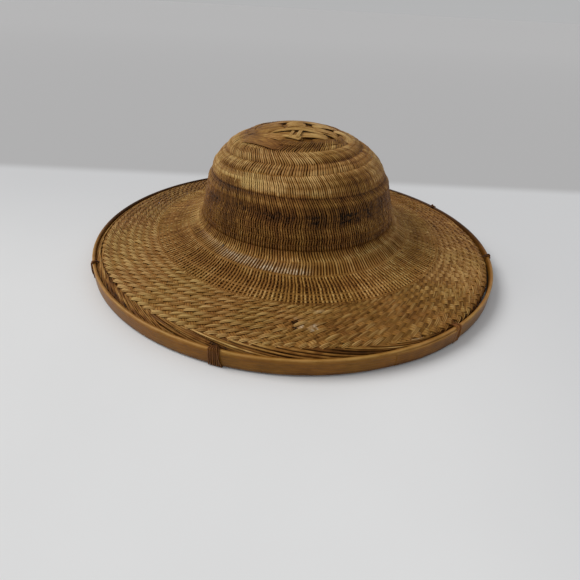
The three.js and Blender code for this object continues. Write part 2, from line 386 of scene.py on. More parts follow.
# %% Old split bamboo
OLD_BAMBOO = [(0.0, (26, 13, 4)), (0.2, (66, 38, 15)), (0.45, (113, 72, 29)), (0.7, (156, 112, 55)),
              (1.0, (208, 171, 110))]
WORN_PALE = (214, 192, 160)
RED_TINT, OLIVE_TINT = (1.0, 0.955, 0.92, 1.0), (0.98, 0.995, 0.91, 1.0)
WARM_SHINE = (1.0, 0.88, 0.7, 1.0)
STREAKS_ALONG, STRIPS_APART = 0.12, 47.0  # to a mm of fibre, and how far apart two strips' noises lie
MOTTLES, SPECKLES, PATCHES = 60.0, 420.0, 26.0  # lumps to a metre
SPECKLE_EDGE, PATCH_EDGE, SEAM_EDGE = (0.47, 0.58), (0.42, 0.58), (0.0, 0.5)
STAIN_BETWEEN, WEAR_BETWEEN = 0.3, 0.6  # share of a stain and of wear between the speckles
GLOSS_SWING, BUMP = 0.2, {"Strength": 0.4, "Distance": 0.0003}


def split_bamboo(name, stops=OLD_BAMBOO, streak=0.2, mottle=0.22, gloss=0.5, seam=0.3, grain=2.3,
                 shine=0.12):
    """Colour = ramp(tone + streak * fibre noise + mottle * broad noise - seams - stains), tinted red
    or olive in patches, and faded to pale where the strip is worn. The tone carries painted light and
    shade, and the stains also carry the painted shade of two holes. The grain is how many streaks lie
    across a splint. A seam is where |sin(pi * splints across)| is near nothing."""
    material, tree, shader = new_material(name)
    add, times, less = sums(tree)
    fibre, shade = (add_node(tree, "ShaderNodeAttribute", attribute_name=key).outputs["Vector"]
                    for key in ("fibre", "shade"))
    tone, stain_and_hole_shade, worn = three_parts(tree, shade)
    place = add_node(tree, "ShaderNodeTexCoord").outputs["Object"]
    streaks = noise(tree, stretched(tree, fibre, (STREAKS_ALONG, grain, STRIPS_APART)), 1.0, 3.0, 0.6)
    mottling = noise(tree, place, MOTTLES, 4.0, 0.6)
    speckle = step_between(tree, noise(tree, place, SPECKLES, 3.0, 0.7), *SPECKLE_EDGE)
    wave = maths(tree, "SINE", times(three_parts(tree, fibre)["Y"], math.pi), 0.0)
    ridge = step_between(tree, maths(tree, "ABSOLUTE", wave, 0.0), *SEAM_EDGE)
    swing, drift = times(less(streaks, 0.5), 2 * streak), times(less(mottling, 0.5), 2 * mottle)
    value = add(add(tone, add(swing, drift)), times(less(ridge, 1.0), seam))
    value = less(value, times(stain_and_hole_shade, add(speckle, STAIN_BETWEEN)), clamp=True)
    rubbed = times(worn, add(speckle, WEAR_BETWEEN), clamp=True)
    patch = step_between(tree, noise(tree, place, PATCHES, 3.0, 0.6), *PATCH_EDGE)
    tinted = stretched(tree, ramp(tree, value, stops), mix_colour(tree, patch, RED_TINT, OLIVE_TINT))
    bump = add_node(tree, "ShaderNodeBump", {"Height": add(streaks, ridge), **BUMP})
    for key, socket in (("Base Color", mix_colour(tree, rubbed, tinted, srgb(*WORN_PALE))),
                        ("Roughness", add(times(streaks, GLOSS_SWING), gloss - GLOSS_SWING / 2)),
                        ("Normal", bump.outputs["Normal"])):
        tree.links.new(socket, shader.inputs[key])
    shader.inputs["Specular IOR Level"].default_value = shine
    shader.inputs["Specular Tint"].default_value = WARM_SHINE
    return material


# %% [markdown]
# ## How light and how stained the weave is
# The hat has faded and darkened in rings, and it has black water stains round the crown. One table
# gives the shade along the arc, and others place faded patches, stains and worn patches one by one.
# Some of the patches are painted light and shade, not fading, and two of the stains are the painted
# shade of holes by a lashing.

# %% Tables of shade
TONE_ROWS = np.array([  # arc, how light
    (0, 0.74), (38, 0.7), (44, 0.52), (49, 0.5), (52.5, 0.58), (54.5, 0.8), (60, 0.82), (65, 0.76),
    (68.5, 0.6), (71, 0.72), (74, 0.7), (76, 0.75), (79, 0.74), (81, 0.87), (86, 0.83), (90, 0.78),
    (94, 0.76), (97, 0.58), (98.5, 0.4), (100, 0.52), (101.5, 0.66), (104, 0.64), (107, 0.56),
    (111, 0.54), (118, 0.52), (123, 0.56), (127, 0.61), (131, 0.6), (136, 0.58), (140, 0.52),
    (142.5, 0.62), (146, 0.74), (150, 0.8), (152, 0.74), (155, 0.7), (160, 0.72), (163, 0.78),
    (168, 0.74), (172, 0.68), (175, 0.7), (180, 0.74), (184, 0.76), (189, 0.76), (193, 0.78),
    (198, 0.77), (236, 0.73), (250, 0.66)])
# Fading, and painted light and shade: a painted sheen on the crown's left shoulder, painted shade on
# its right side and in the creases at the fold, and the plait painted lighter on its right and darker
# on its left.
FADED_AND_PAINTED_LIGHT_ROWS = np.array([  # angle in degrees, arc, half size of each, how much lighter
    (-108, 53, 12, 5, -0.12), (-52, 48, 14, 4, 0.24), (-52, 60, 14, 7, -0.14), (-82, 66, 12, 3, 0.14),
    (-138, 71, 16, 4.5, 0.17), (-78, 80, 14, 3.5, 0.1), (-113, 91, 16, 6, 0.32),
    (-142, 80, 14, 4, -0.2), (-138, 89, 12, 3, 0.12), (-138, 92, 12, 3, -0.24),
    (-50, 87, 18, 6, -0.18), (-140, 100, 18, 4, -0.18), (-142, 128, 18, 14, -0.06),
    (-56, 126, 14, 4, 0.1), (-52, 173, 14, 14, 0.08), (-82, 194, 14, 2.5, -0.1),
    (-138, 146, 14, 3, -0.12), (-165, 154, 14, 7, 0.12), (-20, 156, 24, 12, 0.08),
    (-142, 219, 28, 22, 0.08), (-64, 215, 24, 22, -0.06), (-24, 219, 18, 28, 0.1),
    (-86, 173, 16, 9, -0.1), (0, 24, 55, 20, 0.11), (180, 24, 55, 20, -0.04), (-138, 54, 14, 2, 0.22),
    (-108, 106, 14, 3, 0.09), (-52, 146, 14, 3, 0.08), (-138, 58.5, 12, 3.5, -0.14),
    (-82, 94, 12, 2, 0.16), (-52, 68, 12, 2, -0.14), (-52, 52, 12, 2, 0.1), (-82, 243.5, 13, 4, -0.13),
    (-138, 242, 16, 1.3, -0.22), (-138, 246.6, 16, 1.2, -0.18), (-82, 60, 12, 8, 0.05),
    (-108, 68, 13, 2, 0.09), (-138, 202, 16, 30, -0.02)])
# Water stains, and in the last two rows the painted shade of the holes that the second lashing goes
# through.
STAIN_AND_HOLE_SHADE_ROWS = np.array([  # angle in degrees, arc, half size of each, depth
    (-79, 115, 6, 6, 0.26), (-59, 115, 8, 6, 0.3), (-46, 114, 4, 6, 0.28), (-100, 113, 9, 5, 0.2),
    (-120, 112, 9, 5, 0.2), (-30, 112, 8, 6, 0.2), (-148, 114, 8, 5, 0.18), (40, 114, 30, 5, 0.16),
    (150, 114, 30, 5, 0.16), (-70, 133, 9, 4, 0.12), (-152, 156, 7, 5, 0.3), (-88, 114, 60, 7, 0.05),
    (-90.2, 214.8, 0.8, 1.0, 1.0), (-88.6, 214.3, 0.8, 1.0, 1.0), (-90.5, 222.5, 0.8, 1.0, 1.0),
    (-89.0, 221.2, 0.8, 1.0, 1.0), (-128, 151, 0.8, 1.1, 0.8), (-30.5, 158, 0.6, 5, 0.6),
    (-106.4, 244, 0.9, 1.6, 0.7), (-102.6, 245.5, 0.6, 1.0, 0.7)])
WORN_ROWS = np.array([  # angle in degrees, arc, half size of each, how worn
    (-116, 156.4, 12, 2.3, 0.78), (-95, 157.4, 11, 2.5, 0.76), (-138, 152.5, 10, 2.2, 0.3),
    (-87.6, 219.5, 0.5, 1.1, 0.9), (-85.1, 221.2, 0.6, 1.7, 1.3), (-84.0, 218.8, 0.6, 1.5, 1.3),
    (-82.9, 220.1, 0.4, 0.9, 1.1), (-88.6, 211.5, 0.9, 0.9, 0.35), (-82, 202, 1.8, 1.6, 0.25),
    (-60, 244, 1.4, 1.2, 0.3)])


def patches(arc, angle, rows):
    """Sum of soft ovals. Each adds its strength * exp(-(angle off / half)^4 - (arc off / half)^4)."""
    arc, angle = np.broadcast_arrays(arc, np.degrees(angle))
    total = np.zeros(arc.shape)
    for at_angle, at_arc, half_angle, half_arc, strength in rows:
        off = wrapped(angle - at_angle)
        total += strength * np.exp(-((off / half_angle) ** 4) - ((arc - at_arc) / half_arc) ** 4)
    return total


def shade_of(arc, angle):
    """The tone, with its painted light and shade, the stains, with the painted shade of two holes, and
    the wear at an arc and angle.
    """
    tone = read_off(TONE_ROWS, arc) + patches(arc, angle, FADED_AND_PAINTED_LIGHT_ROWS)
    return tone, patches(arc, angle, STAIN_AND_HOLE_SHADE_ROWS), patches(arc, angle, WORN_ROWS)


# %% [markdown]
# ## The stakes
# The wide strips of the plait are split into fine stakes: 134 at first, then more, and 268 from
# the shoulder down. On the crown they are pressed together and change their slant from one row of
# twining to the next, which gives the herringbone. On the flare they stand apart, with dark slots
# between. Their path is a running sum: at each arc they move round by the tangent of the slant.

# %% Slant and spacing of the stakes
FIRST_SPLITS, UPPER_STAKES, STAKES = 134, 190, 268
PLAIT_ARC, UPPER_ARC, SHOULDER_ARC, FOOT_ARC, BORDER_ARC = 44.0, 54.0, 80.0, 141.5, 193.0
FIRST_ROWS = np.array([PLAIT_ARC - 4, 48, UPPER_ARC])
UPPER_ROWS = np.array([UPPER_ARC - 1, 61, 68.5, 74, SHOULDER_ARC])
WALL_ROWS = np.array([SHOULDER_ARC - 1, 85, 90, 95, 98, 101.5, 107, 113.5, 118, 122.5, 127, 131.8,
                      136.8, FOOT_ARC])
FLARE_SPANS = np.array([FOOT_ARC, 146.2, 150.7, 162.3, 166.4, 170.4, 174.4, 178.5, 182.2, 185.7,
                        189.2, 192.8, 195.0])
SLANT_ROWS = np.array([  # where a band of one slant begins, and the slant in degrees
    (40, -38), (54, 32), (68.5, -13), (79.5, 22), (89.5, 6), (98, 24), (107, 16), (113.5, -9),
    (122.5, 12), (131.8, -9), (136.8, 5), (141.5, 12), (150.7, -12), (162.3, 6), (173, -2), (260, -3)])
SHARE_ROWS = np.array([  # arc, share of the room that a stake fills
    (44, 0.84), (54, 0.93), (94, 0.93), (104, 0.88), (118, 0.86), (126, 0.76), (138, 0.74),
    (142, 0.72), (148.5, 0.74), (149.6, 0.88), (152, 0.88), (153.5, 0.62), (160, 0.62), (163, 0.68),
    (193, 0.64)])
SLANT_BLEND = 0.9  # mm over which one slant turns into the next
SWEEP_STEP, BLEND_STEPS = 0.25, 12

sweep_arc = np.arange(38, 252, SWEEP_STEP)
band = np.searchsorted(SLANT_ROWS[:, 0], sweep_arc, side="right") - 1
kernel = bell(np.arange(-BLEND_STEPS, BLEND_STEPS + 1) * SWEEP_STEP / SLANT_BLEND)
padded = np.pad(SLANT_ROWS[np.maximum(band, 0), 1], BLEND_STEPS, mode="edge")
slant_of_arc = np.convolve(padded, kernel / kernel.sum(), mode="valid")
sweep = np.cumsum(np.tan(np.radians(slant_of_arc)) / section(sweep_arc)[0]) * SWEEP_STEP


def stake_angle(arc):
    """How far round the stakes have swung at an arc: the running sum of tan(slant) / radius."""
    return np.interp(arc, sweep_arc, sweep)


def spans(rows, per_span):
    """Arcs that hit every row, with the same number of steps between each two, and the phase from
    0 to 1 within each span."""
    inner = np.arange(per_span) / per_span
    arcs = (rows[:-1, None] + np.diff(rows)[:, None] * inner).ravel()
    return np.append(arcs, rows[-1]), np.append(np.tile(inner, len(rows) - 1), 1.0)


# %% Make a layer of stakes
SPLINT_PROFILE = np.array([(-1, -0.4), (-0.5, 0.8), (0.5, 0.8), (1, -0.4), (0, -0.9)])
STAKE_STRAY, SPAN_STRAY = 0.05, 0.06  # how far a stake and one span of it stray, in pitches
STAKE_WIDTHS, SPAN_WIDTHS = 0.06, 0.08  # share by which their widths differ
# A stake is painted darker at each seat, as shade where the row holds it down.
STAKE_TONES, SPAN_TONES, SEAT_PAINTED_SHADE = 0.04, 0.05, 0.08  # a seat is where a row holds the stake
SPAN_LIFTS, WIDEST_SHARE = 0.1, 1.1


def stakes(name, rows, count, per_span, bulge, sink, material, slot_name, stands_for=(), offset=0.0,
           fill=1.0, depth=0.0, thick=0.5, darker=0.0):
    """A layer of stakes between the first and the last row. Their lift is -sink at a row and rises
    by the bulge * sin(pi * phase)^0.7 between rows. Each has a width, lift and tone of its own."""
    arc, phase = spans(rows, per_span)
    span = np.append(np.repeat(np.arange(len(rows) - 1), per_span), len(rows) - 2)
    own = scatter(3, count, 1)
    uneven = scatter(2, count, len(rows) - 1)[:, :, span]
    arch = np.sin(np.pi * phase)
    pitch = 2 * math.pi / count
    turn = pitch * (np.arange(count)[:, None] + offset)
    angle = turn + stake_angle(arc) + pitch * (STAKE_STRAY * own[0] + SPAN_STRAY * uneven[1] * arch)
    lift = -depth - sink + bulge * arch ** 0.7 + SPAN_LIFTS * uneven[0] * arch
    slant = np.interp(arc, sweep_arc, slant_of_arc)
    room = pitch * section(arc)[0] * np.cos(np.radians(slant))
    share = np.minimum(read_off(SHARE_ROWS, arc) * fill, WIDEST_SHARE)
    half = 0.5 * room * share * (1 + STAKE_WIDTHS * own[1] + SPAN_WIDTHS * uneven[1])
    point, normal = on_surface(arc, angle, lift)
    tone, stain_and_hole_shade, worn = shade_of(arc, angle)
    tone = tone - darker + STAKE_TONES * own[2] + SPAN_TONES * uneven[0] - SEAT_PAINTED_SHADE * (1 - arch)
    strips = carry(point, normal, half, thick, SPLINT_PROFILE)
    add_piece(name, strips, material, tone, stain_and_hole_shade, worn * (depth == 0),
              stands_for=stands_for)


# %% The stakes of the crown
CROWN_LAYERS = (  # name, rows, how many stakes, steps between rows, what they stand for
    ("crown_first_splits", FIRST_ROWS, FIRST_SPLITS, 6, ("crown_top",)),
    ("crown_upper_stakes", UPPER_ROWS, UPPER_STAKES, 5, ("crown_top",)),
    ("crown_wall_stakes", WALL_ROWS, STAKES, 3, ("crown_shoulder", "crown_wall")))
crown_weave = split_bamboo("crown_bamboo", streak=0.14, mottle=0.2, gloss=0.45, shine=0.22)
for name, rows, count, per_span, nodes in CROWN_LAYERS:
    stakes(name, rows, count, per_span, bulge=0.6, sink=0.55, material=crown_weave,
           slot_name="crown_weave", stands_for=nodes)

# %% [markdown]
# A second layer of stakes lies inside the first. The slots of the real hat show dark, so there is
# something behind them, and it is also what the wearer sees from below. It is painted darker, as the
# shade inside the hat.

# %% The inner stakes
inner_bamboo = split_bamboo("inner_bamboo", streak=0.14, mottle=0.2, gloss=0.8, shine=0.0)
inner = dict(per_span=1, bulge=0.2, sink=0.0, material=inner_bamboo, offset=0.5, depth=1.1)
# darker by 0.26 and 0.3: painted shade inside the hat
for name, rows, count, *_ in CROWN_LAYERS:
    stakes(name + "_inner", rows, count, slot_name="crown_weave", fill=1.4, thick=0.35, darker=0.26,
           **inner)
flare_weave = split_bamboo("flare_bamboo", streak=0.14, mottle=0.18)
stakes("flare_inner_stakes", FLARE_SPANS, STAKES, slot_name="flare_weave", fill=1.6, thick=0.3,
       darker=0.3, **inner)

# %% The stakes of the flare
stakes("flare_stakes", FLARE_SPANS, STAKES, 3, bulge=0.3, sink=0.4, material=flare_weave,
       slot_name="flare_weave", stands_for=("flare",))

# %% [markdown]
# ## Twined strands
# Two thin strands run round together, one over and one under each stake, and swap between. With a
# stake at every other step, a strand's lift is the cosine and its shift along the arc the sine of
# a quarter turn for each step, and its partner is the opposite. Between stakes both dip, and are
# painted darker there as shade, so a row looks like a string of small beads.

# %% Twining round the hat
STRAND_PROFILE = np.array([(-1, 0), (0, 1), (1, 0), (0, -1)])
FLARE_ROWS = np.array([  # arc, half width, lift, swing, how light on top of the tone
    (142.0, 0.5, -0.45, 0.4, -0.16), (146.2, 0.4, -0.5, 0.35, -0.06), (149.9, 0.8, -0.6, 0.25, -0.02),
    (151.5, 0.8, -0.6, 0.25, -0.04), (161.7, 0.55, -0.3, 0.4, -0.03), (162.9, 0.5, -0.3, 0.4, -0.04),
    (166.4, 0.42, -0.48, 0.35, -0.08), (170.4, 0.42, -0.45, 0.35, -0.08),
    (174.4, 0.55, -0.35, 0.4, -0.13), (178.5, 0.42, -0.35, 0.35, -0.06),
    (181.8, 0.5, -0.25, 0.4, -0.02), (182.9, 0.5, -0.25, 0.4, 0.0), (185.7, 0.42, -0.35, 0.35, -0.05),
    (189.2, 0.5, -0.25, 0.4, -0.02), (192.4, 0.6, -0.15, 0.45, -0.08),
    (193.8, 0.64, -0.15, 0.45, -0.07)])
STRAND_STRAY, BEAD_DIP, STRAND_THICK = 0.12, 0.35, 0.36  # mm along the arc, down, half thickness
# A strand is painted darker where it dips between stakes, as shade.
STRAND_WIDTHS, STRAND_TONES, DIP_PAINTED_SHADE, STRAND_WEAR = 0.1, 0.05, 0.5, 0.4


def twining(name, rows, count, pairs, material, twist=0.45):
    """A strand, or a pair, for each row. The angle goes round in half steps of a stake, the lift is
    the row's plus swing * cos(quarter turns) less the dip between stakes, and the arc is the row's
    plus the twist * sin(quarter turns)."""
    step = np.arange(2 * count)
    signs = np.array([1, -1]) if pairs else np.array([1])
    at, half, lift, swing, lighter = (np.repeat(column, len(signs))[:, None] for column in rows.T)
    sign = np.tile(signs, len(rows))[:, None]
    quarter = step * math.pi / 2
    stray = STRAND_STRAY * scatter(len(at), len(step))
    arc = at + sign * twist * np.sin(quarter) + stray
    angle = step * math.pi / count + stake_angle(arc)
    dip = BEAD_DIP * np.sin(quarter) ** 2
    point, normal = on_surface(arc, angle, lift + sign * swing * np.cos(quarter) - dip)
    tone, stain_and_hole_shade, worn = shade_of(arc, angle)
    tone = tone + lighter - DIP_PAINTED_SHADE * dip + STRAND_TONES * scatter(*tone.shape)
    width = half * (1 + STRAND_WIDTHS * scatter(*arc.shape))
    strands = carry(point, normal, width, STRAND_THICK, STRAND_PROFILE, closed=True)
    add_piece(name, strands, material, tone, stain_and_hole_shade, worn * STRAND_WEAR, closed=True)


twining("flare_strands", FLARE_ROWS, STAKES, True, flare_weave)

# %% The strands of the crown
OPEN_WALL_ARC = 117.0  # below this arc the slots open and the strands show between them
HIDDEN_STRAND, OPEN_STRAND = (0.5, -0.7, 0.4, -0.1), (0.5, -0.25, 0.4, 0.0)  # columns as for the flare
for name, rows, count, *_ in CROWN_LAYERS:
    held = rows[1:-1] if count != STAKES else rows[:-1]
    held = np.array([(arc, *(OPEN_STRAND if arc > OPEN_WALL_ARC else HIDDEN_STRAND)) for arc in held])
    twining(name + "_strands", held, count, False, crown_weave, twist=0.2)

# %% [markdown]
# ## The twill of the brim
# Past the border the stakes are gathered in flat strips. One family rises to the right at a low
# angle, the other falls at a steeper one. With as many strips in both, the crossings lie on rings,
# and every third ring is one where the steep family shows. The low family goes over two and under
# one, so it shows as long crowned floats. A phase that counts crossings along the arc drives the
# lift and the width of both.

# %% The two families
TWILL_STRIPS = 140
LOW_ANGLE, STEEP_ANGLE = math.radians(25), math.radians(43)
TWILL_BED, TWILL_SWING = -0.85, 0.4  # lift of the layer's middle, and how far a family leaves it
TWILL_END = 247.5  # arc at which the last rings end, under the folded strips
TWILL_SIZE_ARC = 215.0  # arc at which the strips are as wide as their numbers say
RINGS_FROM_ARC = 187.5  # arc from which the rings of crossings are counted
FOLD_ROWS = np.array([  # angle in degrees, and the arc at which the strips fold there
    (-180, 245), (-160, 244), (-145, 241.5), (-125, 240), (-105, 239), (-85, 239), (-72, 241),
    (-60, 244.2), (-48, 246.3), (10, 246.3), (30, 245.2), (90, 244), (180, 245)])
FOLD_SINK, FOLD_REACH, FOLD_EARLY = 2.2, 3.0, 0.6  # mm down, mm it takes, share before the fold
SPLINT_FILL = 0.9  # share of its room that a splint fills
FLAT_TURN, FLAT_FROM, FLAT_OVER = math.radians(25), 0.25, 0.6
LONG_FLOATS, CRISPNESS = 0.6, 2.0  # on the left, and how sharply a family rises and dives

twill_arc = np.arange(RINGS_FROM_ARC, RIM_ARC, SWEEP_STEP)
twill_radius = section(twill_arc)[0]
low_turn = np.cumsum(SWEEP_STEP / np.tan(LOW_ANGLE) / twill_radius)
steep_turn = np.cumsum(SWEEP_STEP / np.tan(STEEP_ANGLE) / twill_radius)


def fold_arc(angle):
    """The arc of the fold at an angle, read off the table round and round."""
    return read_off(FOLD_ROWS, wrapped(np.degrees(angle)))


def twill_phase(arc):
    """How many crossings a strip has passed at an arc: both families' turns over one strip's share
    of the ring."""
    return np.interp(arc, twill_arc, (low_turn + steep_turn) * TWILL_STRIPS / (2 * math.pi))


def flatness(angle):
    """From 0 on the left and behind to 1 at the front right, where the weave lies flat: a straight
    rise with the cosine of the angle from -25 degrees."""
    return np.clip((np.cos(angle + FLAT_TURN) - FLAT_FROM) / FLAT_OVER, 0, 1)


def over_under(phase, flat):
    """From -1 where the low family dives, at every third crossing, to +1 between: the tanh of twice
    (over - cos(a third of a turn for each crossing)). The over is there on the left, for long
    floats, and 0 at the front right, where both families show alike."""
    over = LONG_FLOATS * (1 - flat)
    return np.tanh(CRISPNESS * (over - np.cos(2 * math.pi * phase / 3))) / math.tanh(2.5)


floats = np.diff(twill_phase([BORDER_ARC, TWILL_END]))[0] / 3
print("rings of floats across the brim:", round(float(floats), 1))

# %% [markdown]
# A strip of the low family is three splints side by side, each with its own height and shade, so a
# float shows fine lines along it. They keep together, and close up where the strip dives.

# %% Weave the twill
FLAT_PROFILE = np.array([(-1, -0.5), (-0.68, 0.6), (-0.36, 0.4), (0, 0.8), (0.36, 0.4), (0.68, 0.6),
                         (1, -0.5), (0, -0.9)])
SKEW = 1.25  # above 1 the widest place of a float lies nearer the rim
END_GROWS = 0.4  # mm that half a float's end is wider at the front right
# Painted shade: a strip is darker where it dives under the other family.
DIVE_PAINTED_SHADE = 0.16  # how much darker a strip is where it dives
# Painted light and shade on the left: floats lighter on their crests and darker where they dive.
RIDGE_PAINTED_SHADE = 0.045  # on the left, how far floats are lighter and dives darker
# A painted highlight along the ridge of the last row, just inside the fold.
FOLD_PAINTED_HIGHLIGHT = 0.16  # how much lighter the last row is, just inside the fold
HALF_THICK = 0.45  # mm, of the strips of the twill and the edge
TWILL_STRAY, TWILL_WIDTHS = 0.0024, 0.07  # radians, and share of the width, by which strips differ
SPLINT_DROP, SPLINT_LIFTS = 0.35, 0.08  # mm that outer splints lie lower, and by which all differ
# The last is painted shade on one side of each float.
SPLINT_TONES, WHOLE_TONES, SIDE_PAINTED_SHADE = 0.07, 0.03, 0.05
STRIP_TONES, FLOAT_TONES, FLAT_TONES = 0.02, 0.02, 0.03  # the last is more of it at the front right
twill_bamboo = split_bamboo("twill_bamboo", streak=0.16, mottle=0.1, seam=0.34)


def twill(name, steps, direction, turn_table, slant, half_mid, half_end, crown, splints, profile,
          darker, stands_for=()):
    """One family, a piece for each splint of its strips. The angle is the strip's share of the ring
    plus or minus its turn, the lift swings over and under with the phase, and the half width grows
    from the end to the middle of each float with the square of a sine. A splint lies off the strip's
    middle, square to its slant. Past the fold it sinks by a smooth step."""
    arc = np.linspace(BORDER_ARC - 0.8, TWILL_END, steps)
    phase = twill_phase(arc)
    ring = np.floor(phase / 3).astype(int)
    own = scatter(2, TWILL_STRIPS, 1)
    uneven = scatter(TWILL_STRIPS, ring.max() + 1)[:, ring]
    start = 2 * math.pi * np.arange(TWILL_STRIPS)[:, None] / TWILL_STRIPS
    angle = start + direction * np.interp(arc, twill_arc, turn_table) + TWILL_STRAY * own[0]
    swell = np.sin(math.pi * (phase / 3 % 1) ** SKEW) ** 2
    swell = swell if direction < 0 else 1 - swell
    beyond = arc - fold_arc(angle)
    past = np.clip(beyond / FOLD_REACH + FOLD_EARLY, 0, 1)
    flat = flatness(angle)
    bulge = crown * (1 - 0.5 * flat) * swell * (1 + (0.1 + 0.15 * flat) * uneven)
    lift = TWILL_BED - direction * TWILL_SWING * over_under(phase, flat) + bulge
    lift = lift - FOLD_SINK * past**2 * (3 - 2 * past)
    scale = section(arc)[0] / section(TWILL_SIZE_ARC)[0]
    ends = half_end + END_GROWS * flat
    half = (ends + (half_mid - ends) * swell) * scale * (1 + TWILL_WIDTHS * uneven)
    tone, stain_and_hole_shade, worn = shade_of(arc, angle)
    # painted highlight on the fold's ridge, on the left
    ridge = FOLD_PAINTED_HIGHLIGHT * bell(beyond / 2.0 + 1.2) * (1 - flat)
    # the steep family's darker tone and the darker dives are painted shade
    tone = tone - darker * (1 - 0.7 * flat) + ridge - DIVE_PAINTED_SHADE * (1 - swell) ** 2
    tone = tone + STRIP_TONES * own[1] + (FLOAT_TONES + FLAT_TONES * flat) * uneven
    # painted light and shade along the ridges on the left
    tone = tone - direction * RIDGE_PAINTED_SHADE * (1 - flat) * swell
    whole = splints == 1
    for number in range(splints):
        off = (2 * number + 1) / splints - 1
        finer = scatter(TWILL_STRIPS, ring.max() + 1)[:, ring]
        aside = off * half
        splint_arc = arc + aside * math.cos(slant)
        splint_angle = angle - direction * aside * math.sin(slant) / section(arc)[0]
        height = lift - SPLINT_DROP * off**2 * swell + SPLINT_LIFTS * finer * swell
        point, normal = on_surface(splint_arc, splint_angle, height)
        filled = half / splints * (1 if whole else SPLINT_FILL)
        strips = carry(point, normal, filled, HALF_THICK, profile)
        # darker on one side of the float, as painted shade
        shade = tone + (WHOLE_TONES if whole else SPLINT_TONES) * finer - SIDE_PAINTED_SHADE * off * swell
        add_piece(f"{name}_{number + 1}", strips, twill_bamboo, shade, stain_and_hole_shade, worn,
                  stands_for=stands_for, splints=3 if whole else 1)


# The steep family is painted darker, as shade between the floats, and the low one a little lighter.
twill("twill_low", 52, -1, low_turn, LOW_ANGLE, half_mid=1.5, half_end=1.15, crown=0.8, splints=3,
      profile=SPLINT_PROFILE, darker=-0.04, stands_for=("brim",))
twill("twill_steep", 46, 1, steep_turn, STEEP_ANGLE, half_mid=2.85, half_end=2.85, crown=0.1, splints=1,
      profile=FLAT_PROFILE, darker=0.1)

# %% [markdown]
# ## The folded edge
# At the fold the strips turn and run nearly along the rim, each over the next like shingles, and
# slope down inside the hoop. The woven disc isn't quite round: on the right the fold lies nearer
# the hoop, and the strips bend down behind it and leave a dark slot. Towards the hoop, in the slot
# and in the lower layer the strips are painted darker, as shade.

# %% Lay the folded strips
EDGE_STRIPS = TWILL_STRIPS // 2
EDGE_TURN = math.radians(21)  # how far round the hat each of them runs
SLOT_FROM, SLOT_TO = -56, 14  # degrees between which the strips bend down behind the hoop
SLOT_INNER, SLOT_OUTER = 1.2, 2.8  # mm that they bend down there, at the fold and at the rim
EDGE_STRAY, EDGE_WIDTHS = 0.12, 0.2  # pitches and mm of lift, and share of the width
# Painted shade: the strips are darker towards the hoop, and more so in the slot behind it.
EDGE_TONES, PATCH_TONES, RIM_PAINTED_SHADE, SLOT_PAINTED_SHADE = 0.09, 0.06, 0.16, 0.4


def edge_strips(name, offset, lift_in, lift_out, fill, tilt, reach_in=0.0, steps=26, darker=0.0,
                count=EDGE_STRIPS, run=EDGE_TURN, part=(-180, 180), stands_for=()):
    """Strips from the fold out to the hoop. The count is how many there are to a whole ring, and the
    part is from where to where they start, in degrees. The angle grows evenly by the run, the arc
    goes from the fold there to the rim, and the lift falls evenly, deeper where the slot is. Each
    takes its share of the band's width there, times the fill."""
    share = np.linspace(0, 1, steps)
    number = np.arange(*(count * (end + 180) // 360 for end in part))[:, None]
    own = scatter(4, len(number), 1)
    start = 2 * math.pi * (number + offset + EDGE_STRAY * own[0]) / count - math.pi
    angle = start + run * share
    fold = fold_arc(angle) - reach_in
    arc = fold + (RIM_ARC - 0.2 - fold) * share
    degrees = wrapped(np.degrees(angle))
    slot = 1 / (1 + np.exp(-(degrees - SLOT_FROM) / 2)) / (1 + np.exp((degrees - SLOT_TO) / 2))
    drop = slot * (SLOT_INNER + (SLOT_OUTER - SLOT_INNER) * share)
    lift = lift_in + (lift_out - lift_in) * share - drop + EDGE_STRAY * own[1]
    point, normal = on_surface(arc, angle, lift)
    side_by_side = count * run / (2 * math.pi)
    half = 0.5 * fill * (RIM_ARC - fold) / side_by_side * (1 + EDGE_WIDTHS * own[2])
    width = np.maximum(half, 0.5) * np.minimum(1, 0.5 + 5 * share)
    tone, stain_and_hole_shade, worn = shade_of(arc, angle)
    patchy = np.repeat(scatter(len(number), steps // 2), 2, axis=1)
    tone = tone - darker + EDGE_TONES * own[3] + PATCH_TONES * patchy
    tone = tone - RIM_PAINTED_SHADE * share - SLOT_PAINTED_SHADE * slot
    strips = carry(point, normal, width, HALF_THICK, SPLINT_PROFILE, tilt=tilt)
    add_piece(name, strips, edge_bamboo, tone, stain_and_hole_shade, worn, stands_for=stands_for)


edge_bamboo = split_bamboo("edge_bamboo", streak=0.2, mottle=0.16, seam=0.1)
edge_strips("edge_upper_strips", 0.0, 0.2, -0.3, 0.72, -0.35, darker=-0.02, stands_for=("brim_edge",))
# The lower layer is painted darker, as shade under the upper strips.
edge_strips("edge_lower_strips", 0.5, -0.9, -1.3, 1.1, -0.3, reach_in=3.0, darker=0.11)
edge_strips("edge_short_strips", 0.0, 0.4, 0.2, 1.05, -0.3, steps=12, darker=-0.06,
            count=2 * TWILL_STRIPS, run=math.radians(9), part=(-178, -124))

# %% [markdown]
# ## The hoop
# The hoop is a long strip of bamboo bent on edge, with its rounded skin outwards and its top edge
# lighter, partly rubbed and partly a painted highlight. Behind the hat it is painted darker, as
# shade. Its two ends lap at the front-right lashing, where the outer one thins away.

